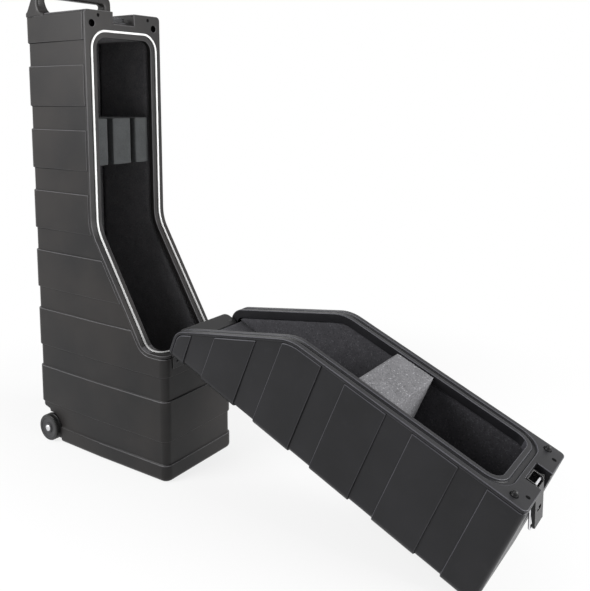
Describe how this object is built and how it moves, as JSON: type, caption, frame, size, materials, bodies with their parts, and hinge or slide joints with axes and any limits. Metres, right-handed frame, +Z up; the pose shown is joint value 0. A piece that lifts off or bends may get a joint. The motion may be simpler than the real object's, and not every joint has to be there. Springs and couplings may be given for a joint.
{
  "type": "double instrument case",
  "caption": "Tall moulded hard case for two stringed instruments: banded shell on wheels with a hinged let-down lid, foam blocks, sealing strip, top handle and latch.",
  "frame": {"origin": "middle of the flat foot on the floor, at the plane of the upright rim", "axes": "+Z up, -Y towards the opening and the let-down lid, +X across the width"},
  "size_m": [0.3, 1.4315, 1.294],
  "materials": {
    "shell": "fine pebble grain",
    "seal": "smooth",
    "dark_foam": "open cell",
    "grey_foam": "open cell",
    "pale_foam": "speckled",
    "bright_steel": "polished",
    "dark_steel": "satin",
    "moulding": "smooth",
    "wheel_disc": "smooth",
    "tread": "smooth"
  },
  "bodies": {
    "base": {"base_shell": "shell", "top_handle": "shell", "seal_strip": "seal", "base_floor_pad": "dark_foam", "base_back_pad": "dark_foam", "base_side_pads": "dark_foam", "base_top_pad": "dark_foam", "base_front_pad": "dark_foam", "neck_block": "grey_foam", "latch_keeper": "bright_steel", "keeper_rivets": "bright_steel", "hinge_base_leaf": "dark_steel", "hinge_base_rivets": "dark_steel", "hinge_pin": "dark_steel", "axle_left": "bright_steel", "axle_right": "bright_steel"},
    "lid": {"lid_shell": "shell", "locator_pegs": "moulding", "lid_floor_pad": "pale_foam", "lid_side_pads": "pale_foam", "lid_top_pad": "pale_foam", "lid_block": "pale_foam", "hinge_flap": "moulding", "flap_screws": "bright_steel", "hinge_lid_leaf": "dark_steel", "hinge_lid_rivets": "dark_steel", "latch_bracket": "bright_steel", "bracket_rivets": "bright_steel", "latch_rod": "bright_steel"},
    "lever": {"latch_lever": "bright_steel"},
    "loop": {"latch_loop": "bright_steel"},
    "left_wheel": {"tyre_left": "tread", "hub_left": "wheel_disc", "wheel_cap_left": "bright_steel"},
    "right_wheel": {"tyre_right": "tread", "hub_right": "wheel_disc", "wheel_cap_right": "bright_steel"}
  },
  "joints": [
    {"name": "lid_hinge", "type": "hinge", "parent": "base", "child": "lid", "pos_m": [0, -0.2634, 0.34], "axis": [-1, 0, 0], "range_deg": [0, 113.45]},
    {"name": "latch_lever", "type": "hinge", "parent": "lid", "child": "lever", "pos_m": [0, -1.15529, 0.225], "axis": [1, 0, 0], "range_deg": [-120, 23.45]},
    {"name": "latch_loop", "type": "hinge", "parent": "lever", "child": "loop", "pos_m": [0, -1.15129, 0.205], "axis": [-1, 0, 0], "range_deg": [0, 176.5]},
    {"name": "left_wheel_spin", "type": "hinge", "parent": "base", "child": "left_wheel", "pos_m": [-0.13, 0.206, 0.0383], "axis": [1, 0, 0], "continuous": true},
    {"name": "right_wheel_spin", "type": "hinge", "parent": "base", "child": "right_wheel", "pos_m": [0.13, 0.206, 0.0383], "axis": [1, 0, 0], "continuous": true}
  ]
}
